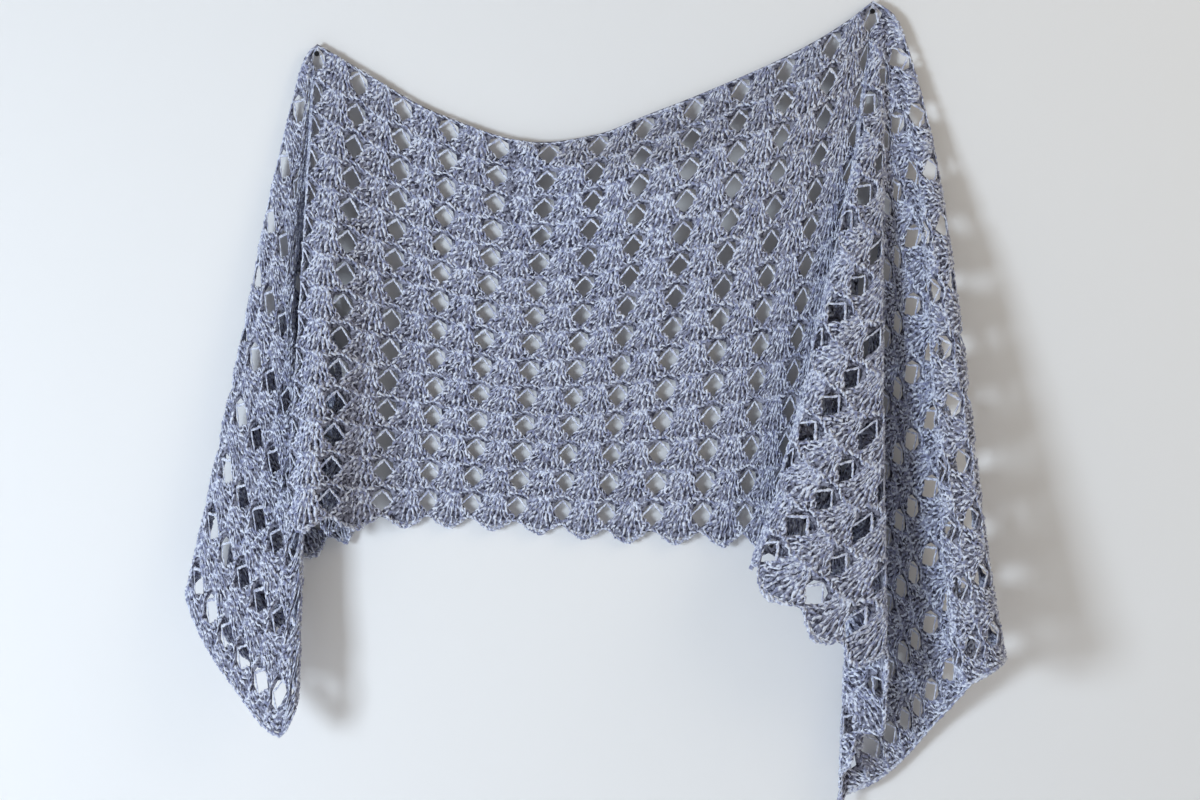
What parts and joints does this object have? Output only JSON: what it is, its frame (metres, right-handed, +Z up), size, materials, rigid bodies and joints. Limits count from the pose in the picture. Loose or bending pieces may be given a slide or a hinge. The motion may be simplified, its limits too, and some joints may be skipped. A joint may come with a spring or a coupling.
{
  "type": "rectangular crochet lace shawl hung by two wall nails",
  "caption": "Long rectangular lace shawl in shell stitch with diamond eyelets, draped on a wall from two nails, its ends falling in soft folds.",
  "frame": {"origin": "centre of the left nail's flat rear end, on the wall plane y = 0", "axes": "+X to the viewer's right along the wall, +Y into the wall, +Z up; the shawl hangs on the -Y side"},
  "size_m": [0.9288, 0.1424, 0.9318],
  "materials": {
    "yarn": "matt plied grey-lavender yarn, crocheted",
    "nail": "black"
  },
  "bodies": {
    "root": {"shawl_left_end": "yarn", "shawl_centre": "yarn", "shawl_right_end": "yarn", "wall_nail_left": "nail", "wall_nail_right": "nail"}
  },
  "joints": []
}
